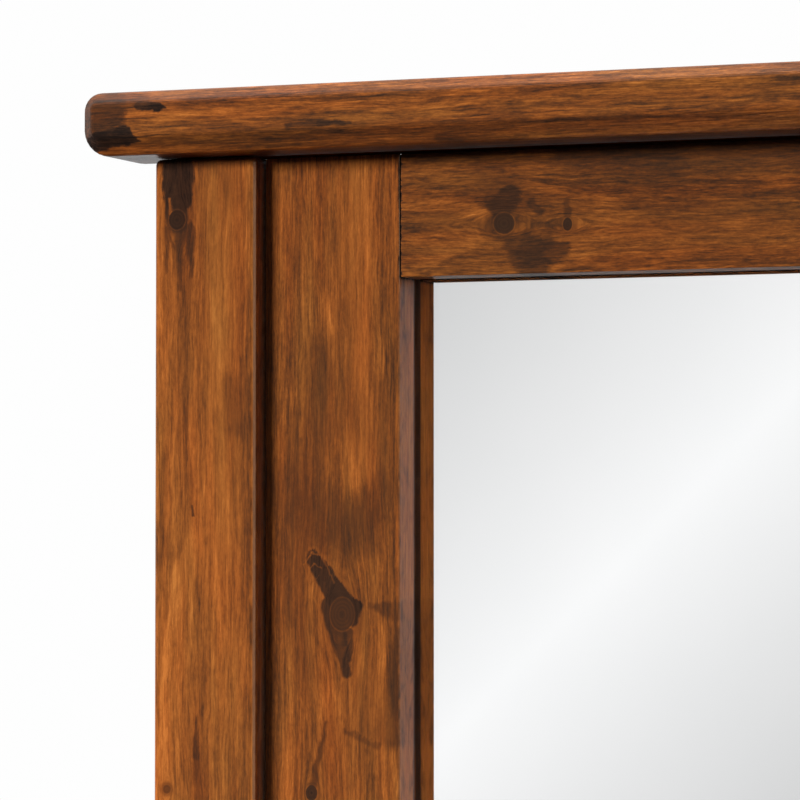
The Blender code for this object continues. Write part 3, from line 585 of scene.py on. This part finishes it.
def detailed_boards():
    """The four boards that meet at the corner, each with its own marks."""
    stile = pine(
        "pine_left_stile", "Z", seed=3, level=0.625, pith=(-40, 60), taper=0.045, ring=7.5,
        knots=STILE_KNOTS, strokes=STILE_STROKES, contrast=1.2, short=1.3, inner_edge=0.0,
    )
    post = pine(
        "pine_left_post", "Z", seed=5, level=0.648, pith=(-88, 70), taper=0.02, ring=6.5,
        knots=POST_KNOTS, strokes=POST_STROKES, contrast=1.05, short=1.3,
    )
    rail = pine(
        "pine_top_rail", "X", seed=7, level=0.50, pith=(18, 55), taper=0.05, ring=3.6,
        knots=RAIL_KNOTS, strokes=RAIL_STROKES, contrast=1.3, short=2.2, grey=0.2, inner_edge=0.0,
    )
    cap = pine(
        "pine_cap", "X", seed=11, level=0.56, pith=(60, 48), taper=0.01, ring=3.0,
        knots=CAP_KNOTS, strokes=CAP_STROKES, contrast=1.4, short=1.6, lines=0.10, sheltered=True,
    )
    use(stile, "left_stile")
    use(post, "left_post")
    use(rail, "top_rail")
    use(cap, "cap_rail")


def plainer_boards():
    """The other boards, with scattered knots that stay clear of their edges."""
    clear, taper = 8, 0.03
    for board, seed, inner_edge in (("right_stile", 13, OPENING_WIDTH), ("right_post", 17, None)):
        low, high = span_of(board, 0)
        knots = scattered(seed, (low + clear, high - clear), (-1480, 30), 7, 6.5)
        pith = ((low + high) / 2 + 9, 60)
        level = 0.55 + 0.001 * seed
        use(pine(f"pine_{board}", "Z", seed, level, pith, taper, knots=knots, inner_edge=inner_edge), board)
    for board, seed, count in (("bottom_rail", 19, 3), ("lower_stretcher", 23, 4)):
        low, high = span_of(board, 2)
        knots = scattered(seed, (low + clear, high - clear), (0, 370), count, 6.0)
        pith = ((low + high) / 2 - 6, 50)
        use(pine(f"pine_{board}", "X", seed, 0.47, pith, taper, knots=knots), board)
    for board, seed in (("left_foot", 29), ("right_foot", 31)):
        low, high = span_of(board, 0)
        knots = scattered(seed, (-1600, -1545), (-200, 220), 3, 6.0)
        pith = (-1570.0, (low + high) / 2 + 70)
        use(pine(f"pine_{board}", "Y", seed, 0.48, pith, taper, knots=knots), board)


# ---------------------------------------------------------------- other materials


def turned_pine():
    """Knobs: stained pine with the grain along the turning."""
    return pine("pine_knobs", "X", 37, 0.44, pith=(-660, 30), taper=0.02, ring=2.6, bands=0.05)


def plain_wood(name, colour, grain):
    """Dowels of unstained hardwood."""
    material, shader, axes = new_material(name, Specular_IOR_Level=0.3)
    board = [axes[i] for i in GRAIN[grain]]
    line = noise(board, (1.2, 1.2, 0.05), 3.0)
    pore = noise(board, (5.0, 5.0, 0.4), 2.0)
    dark = tuple(value * 0.66 for value in colour)
    feed(shader.inputs["Base Color"], mixed((line * 0.4 + pore * 0.25 + 0.45).clamped(), colour, dark))
    feed(shader.inputs["Roughness"], 0.62 + pore * 0.05)
    bumped(shader, pore + line, 0.00008, 0.5)
    return material


def metal(name, colour, roughness, tarnish):
    """Plated or turned metal with faint scratches and a slightly uneven polish."""
    material, shader, axes = new_material(name, Metallic=1.0)
    cloudy = noise(axes, (0.35, 0.35, 0.35), 3.0)
    scratch = noise(axes, (6.0, 0.5, 6.0), 2.0, 0.7)
    dull = tuple(value * 0.55 for value in colour)
    feed(shader.inputs["Base Color"], mixed(cloudy.step(-0.3, 1.6) * tarnish, colour, dull))
    feed(shader.inputs["Roughness"], roughness + cloudy * 0.05 + scratch * 0.03)
    bumped(shader, scratch, 0.00003, 0.4)
    return material


def hardboard():
    """Brown pressed fibre: flecks of darker and paler fibre, matt."""
    material, shader, axes = new_material("hardboard", Specular_IOR_Level=0.25)
    fibre = noise(axes, (0.9, 0.9, 0.6), 4.0, 0.7, 1.2)
    cloudy = noise(axes, (0.012, 0.012, 0.012), 3.0)
    tone = (fibre * 0.22 + cloudy * 0.12 + 0.5).clamped()
    scale = ((0.0, (0.105, 0.058, 0.030)), (0.5, (0.190, 0.108, 0.058)), (1.0, (0.300, 0.185, 0.105)))
    feed(shader.inputs["Base Color"], coloured(tone, scale))
    feed(shader.inputs["Roughness"], 0.60 + fibre * 0.06)
    bumped(shader, fibre, 0.00012, 0.6)
    return material


def felt():
    """Dark brown pressed felt."""
    material, shader, axes = new_material("felt_pile", Sheen_Weight=0.35, Specular_IOR_Level=0.1)
    hair = noise(axes, (2.2, 2.2, 2.2), 4.0, 0.75, 2.0)
    share = (hair * 0.4 + 0.5).clamped()
    feed(shader.inputs["Base Color"], mixed(share, (0.035, 0.028, 0.024), (0.095, 0.078, 0.066)))
    feed(shader.inputs["Roughness"], 0.92 + hair * 0.04)
    bumped(shader, hair, 0.0003, 0.7)
    return material


def nylon():
    """Black moulded nylon, slightly waxy."""
    material, shader, axes = new_material("nylon_moulded")
    grain = noise(axes, (3.0, 3.0, 3.0), 2.0)
    share = (grain * 0.3 + 0.5).clamped()
    feed(shader.inputs["Base Color"], mixed(share, (0.012, 0.012, 0.013), (0.024, 0.024, 0.025)))
    feed(shader.inputs["Roughness"], 0.42 + grain * 0.05)
    bumped(shader, grain, 0.00004, 0.5)
    return material


def clear_glass():
    """The glass in front of the silvering, with a trace of dust on its surface."""
    material, shader, axes = new_material("mirror_float_glass", Transmission_Weight=1.0, IOR=1.52)
    dust = noise(axes, (0.02, 0.02, 0.02), 3.0)
    tint = mixed(dust.step(-1.0, 1.0), (0.995, 0.992, 0.993), (0.987, 0.986, 0.986))
    feed(shader.inputs["Base Color"], tint)
    feed(shader.inputs["Roughness"], dust.step(0.2, 1.6) * 0.004)
    return material


def silver():
    """The silvering, with the faintest clouding."""
    material, shader, axes = new_material("mirror_silver", Metallic=1.0)
    haze = noise(axes, (0.01, 0.01, 0.01), 2.0)
    tint = mixed(haze.step(-1.0, 1.0), (0.955, 0.962, 0.965), (0.945, 0.953, 0.957))
    feed(shader.inputs["Base Color"], tint)
    feed(shader.inputs["Roughness"], haze.step(0.4, 1.6) * 0.004)
    return material


def silvering():
    """The silvered sheet just in front of the glass's back face, a little smaller than the glass."""
    low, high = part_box("mirror_glass")
    margin, skin, cover = 0.0006, 0.00004, 0.00005
    rounding, steps = 0.0012, 5
    back = high.y - cover
    inset = margin + rounding
    mesh = bmesh.new()
    outline = []
    for turn, (x, z) in enumerate(
        (
            (high.x - inset, high.z - inset),
            (low.x + inset, high.z - inset),
            (low.x + inset, low.z + inset),
            (high.x - inset, low.z + inset),
        )
    ):
        for n in range(steps + 1):
            angle = (turn + n / steps) * math.pi / 2
            outline.append(Vector((x, 0, z)) + Vector((math.cos(angle), 0, math.sin(angle))) * rounding)
    front = [mesh.verts.new((p.x, back - skin, p.z)) for p in outline]
    rear = [mesh.verts.new((p.x, back, p.z)) for p in outline]
    mesh.faces.new(front)
    mesh.faces.new(list(reversed(rear)))
    for n in range(len(outline)):
        m = (n + 1) % len(outline)
        mesh.faces.new((front[m], front[n], rear[n], rear[m]))
    bmesh.ops.recalc_face_normals(mesh, faces=mesh.faces)
    data = bpy.data.meshes.new("mirror_silvering")
    mesh.to_mesh(data)
    mesh.free()
    sheet = bpy.data.objects.new("mirror_silvering", data)
    bpy.context.scene.collection.objects.link(sheet)
    data.materials.append(silver())
    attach(sheet, "mirror_frame")


def hardware():
    """Everything but the boards and the silvering."""
    beech = (0.50, 0.36, 0.21)
    steel = metal("zinc_plate", (0.62, 0.63, 0.66), 0.30, 0.35)
    brass = metal("brass_turned", (0.60, 0.42, 0.17), 0.28, 0.45)
    black_nylon = nylon()
    use(clear_glass(), "mirror_glass")
    use(hardboard(), "backing_board")
    use(turned_pine(), "left_clamp_knob", "right_clamp_knob")
    use(steel, *(f"board_screw_{n}" for n in range(1, 11)))
    upright_dowels = plain_wood("dowel_upright", beech, "Z")
    lying_dowels = plain_wood("dowel_lying", beech, "X")
    pads = felt()
    for side in ("left", "right"):
        use(upright_dowels, f"{side}_cap_dowel_a", f"{side}_cap_dowel_b")
        use(lying_dowels, f"{side}_stretcher_dowel")
        use(lying_dowels, *(f"{side}_{end}_{row}_dowel" for end in ("top", "bottom") for row in "ab"))
        use(steel, f"{side}_foot_screw", f"{side}_stretcher_bolt", f"{side}_barrel_nut")
        use(steel, f"{side}_pivot_stud")
        use(brass, f"{side}_threaded_insert", f"{side}_clamp_washer")
        use(black_nylon, f"{side}_bushing", f"{side}_friction_washer")
        use(pads, f"{side}_front_foot_pad", f"{side}_rear_foot_pad")


# ---------------------------------------------------------------- studio


def studio_floor():
    """A pale round floor that catches shadows, and that neither lights nor is mirrored in the object."""
    data = bpy.data.meshes.new("studio_floor")
    mesh = bmesh.new()
    rings, spokes, reach = 12, 48, 20.0
    turns = [2 * math.pi * n / spokes for n in range(spokes)]
    circles = []
    for ring in range(rings):
        radius = reach * ((ring + 1) / rings) ** 2
        circles.append([mesh.verts.new((radius * math.cos(a), radius * math.sin(a), 0)) for a in turns])
    mesh.faces.new(circles[0])
    for inner, outer in zip(circles, circles[1:]):
        for n in range(spokes):
            m = (n + 1) % spokes
            mesh.faces.new((inner[n], outer[n], outer[m], inner[m]))
    mesh.to_mesh(data)
    mesh.free()
    floor = bpy.data.objects.new("studio_floor", data)
    bpy.context.scene.collection.objects.link(floor)
    material, shader, axes = new_material("studio_floor_paint", Specular_IOR_Level=0.1)
    speck = noise(axes, (0.004, 0.004, 0.004), 3.0)
    share = (speck * 0.3 + 0.5).clamped()
    feed(shader.inputs["Base Color"], mixed(share, (0.55, 0.55, 0.55), (0.56, 0.56, 0.56)))
    feed(shader.inputs["Roughness"], 0.85 + speck * 0.03)
    data.materials.append(material)
    floor.visible_diffuse = floor.visible_glossy = floor.visible_transmission = False


def heading(azimuth, elevation):
    """The way towards a point at this azimuth, from the front round to the right, and elevation."""
    a, e = math.radians(azimuth), math.radians(elevation)
    return Vector((math.sin(a) * math.cos(e), -math.cos(a) * math.cos(e), math.sin(e)))


def softbox(name, azimuth, elevation, distance, size, power, gloss, colour=(1.0, 1.0, 1.0)):
    """A soft light aimed at the corner. It gives gloss only or no gloss, and isn't seen itself."""
    data = bpy.data.lights.new(name, "AREA")
    data.shape = "RECTANGLE"
    data.size, data.size_y = size
    data.energy = power
    data.color = colour
    lamp = bpy.data.objects.new(name, data)
    way = heading(azimuth, elevation)
    lamp.location = CORNER + way * distance
    lamp.rotation_euler = way.to_track_quat("Z", "Y").to_euler()
    lamp.visible_camera = lamp.visible_transmission = False
    lamp.visible_glossy, lamp.visible_diffuse = gloss, not gloss
    bpy.context.scene.collection.objects.link(lamp)


def studio_light():
    """A key from the front left, soft light from above and behind, and white behind the object."""
    softbox("key_light", -43, 9.5, 6.0, (2.2, 1.0), 415.0, gloss=False)
    softbox("rim_light", 66, 4.0, 5.0, (0.9, 3.0), 130.0, gloss=True, colour=(1.0, 0.62, 0.40))
    world = bpy.data.worlds.new("studio")
    bpy.context.scene.world = world
    world.use_nodes = True
    tree = world.node_tree
    background = tree.nodes["Background"]
    way = Field(tree.nodes.new("ShaderNodeTexCoord").outputs["Generated"])
    _, y, z = apart(way)
    path = tree.nodes.new("ShaderNodeLightPath")
    seen, glossy, through = (
        Field(path.outputs[f"Is {kind} Ray"]) for kind in ("Camera", "Glossy", "Transmission")
    )
    overhead = way.vector("DOT_PRODUCT", Vector((0.0, 0.24, 0.97))).most(0.0).power(6.0)
    behind = y.step(-0.05, 0.45, 0.75) * z.step(-0.70, 0.0)
    light = overhead * (5.0 - glossy * 2.8) + behind + z.step(-0.6, 0.1, 0.08) + 0.01
    # A low glow behind the object, for what shines at a grazing angle under its edges
    low_behind = y.step(0.5, 0.9) * z.step(0.02, -0.05) * z.step(-0.35, -0.12)
    light = light + low_behind * glossy * 1.7
    # Less gloss off the front faces, which would veil the wood's colour
    ahead = way.vector("DOT_PRODUCT", MIRRORED_WAY)
    light = light * (1.0 - glossy * ahead.step(0.0, 0.6, 0.55).scaled(1.0, 0.40))
    # What the glass mirrors: pale, with a soft diagonal sheen to the front left. The display value is
    # turned into light.
    slant = way.vector("DOT_PRODUCT", MIRRORED_RIGHT - MIRRORED_UP) / ahead.most(0.2)
    shown = (slant - SHEEN_OFFSET).size().scaled(-SHEEN_FALL, SHEEN_TOP).most(SHEEN_LEAST)
    sheen = shown.scaled(1 / 1.055, 0.055 / 1.055).power(2.4) * SHEEN_GAIN
    mirrored = (z.step(-0.5, 0.0, 0.4) + 0.6).towards(sheen, ahead.step(0.93, 0.985))
    # The mirrored light brightens the wood beside the glass, and is weaker where it shines on it.
    onto_wood = Field(path.outputs["Diffuse Depth"]).least(1.0)
    shine = Field(path.outputs["Glossy Depth"]).step(1.2, 1.8, 0.45)
    light = light.towards(mirrored * (onto_wood.scaled(3.2, 1.0) - shine), through)
    feed(background.inputs["Strength"], light.towards(0.99, seen))
    background.inputs["Color"].default_value = (1.0, 1.0, 1.0, 1.0)


def studio_camera():
    """The camera, placed from the corner of the mirror's opening."""
    data = bpy.data.cameras.new("camera")
    data.lens = CAMERA_LENS
    data.sensor_width = 36.0
    data.clip_end = 200.0
    camera = bpy.data.objects.new("camera", data)
    camera.location = CORNER + CAMERA_FROM_CORNER
    camera.rotation_euler = CAMERA_TURN
    bpy.context.scene.collection.objects.link(camera)
    bpy.context.scene.camera = camera


detailed_boards()
plainer_boards()
hardware()
silvering()
studio_floor()
studio_light()
studio_camera()
bpy.context.scene.view_settings.view_transform = "Standard"
